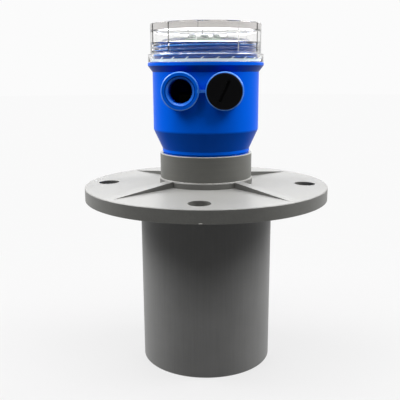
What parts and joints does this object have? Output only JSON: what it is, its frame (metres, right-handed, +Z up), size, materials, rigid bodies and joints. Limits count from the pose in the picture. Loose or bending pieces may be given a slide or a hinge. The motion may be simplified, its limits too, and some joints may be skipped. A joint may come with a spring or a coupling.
{
  "type": "radar level transmitter",
  "caption": "Radar level transmitter: a round housing with side cable entries and a clear screw lid, over a collar and a ribbed bolt flange that carries a cylindrical antenna can.",
  "frame": {"origin": "on the axis, at the foot of the antenna can", "axes": "+Z up along the axis, from the antenna can to the lid; -Y is the side of the cable entries and +X is to the right of someone who faces them"},
  "size_m": [0.2, 0.2, 0.2774],
  "materials": {
    "grey_pvc": "grey PVC, satin, lightly machined",
    "blue_plastic": "blue injection-moulded plastic, satin gloss",
    "clear_plastic": "clear moulded polycarbonate",
    "black_plastic": "black moulded plastic",
    "white_plastic": "light grey moulded plastic",
    "green_plastic": "green moulded plastic",
    "circuit_board": "green solder mask on laminate",
    "black_rubber": "black rubber",
    "silicone": "white silicone rubber",
    "ptfe": "white PTFE",
    "foam": "dark closed-cell foam",
    "aluminium": "turned aluminium",
    "brass": "bright brass",
    "steel": "bright steel sheet",
    "sleeve": "dark blue shrink sleeve",
    "ribbon": "grey ribbon cable",
    "lcd_glass": "blank liquid-crystal display"
  },
  "bodies": {
    "root": {"antenna_can": "grey_pvc", "radome": "ptfe", "horn_ring": "foam", "horn_antenna": "aluminium", "feed_cone": "ptfe", "waveguide": "brass", "mounting_flange": "grey_pvc", "collar": "grey_pvc", "neck_gasket": "black_rubber", "housing": "blue_plastic", "rf_module": "steel", "rf_screws": "steel", "board_posts": "brass", "main_board": "circuit_board", "board_screws": "steel", "board_connector": "black_plastic", "terminal_block": "green_plastic", "terminal_screws": "steel", "capacitors": "sleeve", "power_coil": "black_plastic", "ribbon_cable": "ribbon", "ribbon_socket": "white_plastic", "electronics_cover": "white_plastic", "cover_screws": "steel", "display_board": "circuit_board", "display_screws": "steel", "lcd_frame": "steel", "lcd_glass": "lcd_glass", "key_switches": "black_plastic"},
    "lid_carrier": {"lid_seal": "silicone"},
    "lid": {"lid": "clear_plastic"},
    "plug_carrier": {"plug_oring": "black_rubber"},
    "plug": {"blanking_plug": "black_plastic"},
    "left_key": {"key_left": "white_plastic"},
    "middle_key": {"key_middle": "white_plastic"},
    "right_key": {"key_right": "white_plastic"}
  },
  "joints": [
    {"name": "lid_lift", "type": "slide", "parent": "root", "child": "lid_carrier", "axis": [0, 0, 1], "range_m": [0, 0.0211]},
    {"name": "lid_turn", "type": "hinge", "parent": "lid_carrier", "child": "lid", "pos_m": [0, 0, 0.26], "axis": [0, 0, 1], "range_deg": [0, 2520]},
    {"name": "plug_out", "type": "slide", "parent": "root", "child": "plug_carrier", "axis": [0, -1, 0], "range_m": [0, 0.0106]},
    {"name": "plug_turn", "type": "hinge", "parent": "plug_carrier", "child": "plug", "pos_m": [0.0165, -0.045, 0.2268], "axis": [0, -1, 0], "range_deg": [0, 2520]},
    {"name": "press_left", "type": "slide", "parent": "root", "child": "left_key", "axis": [0, 0, -1], "range_m": [0, 0.0005], "stiffness_N_per_m": 400, "springref_m": -0.001},
    {"name": "press_middle", "type": "slide", "parent": "root", "child": "middle_key", "axis": [0, 0, -1], "range_m": [0, 0.0005], "stiffness_N_per_m": 400, "springref_m": -0.001},
    {"name": "press_right", "type": "slide", "parent": "root", "child": "right_key", "axis": [0, 0, -1], "range_m": [0, 0.0005], "stiffness_N_per_m": 400, "springref_m": -0.001}
  ],
  "couplings": [
    {"joint": "lid_lift", "follows": "lid_turn", "m_per_rad": 0.00047746},
    {"joint": "plug_out", "follows": "plug_turn", "m_per_rad": 0.00023873}
  ]
}
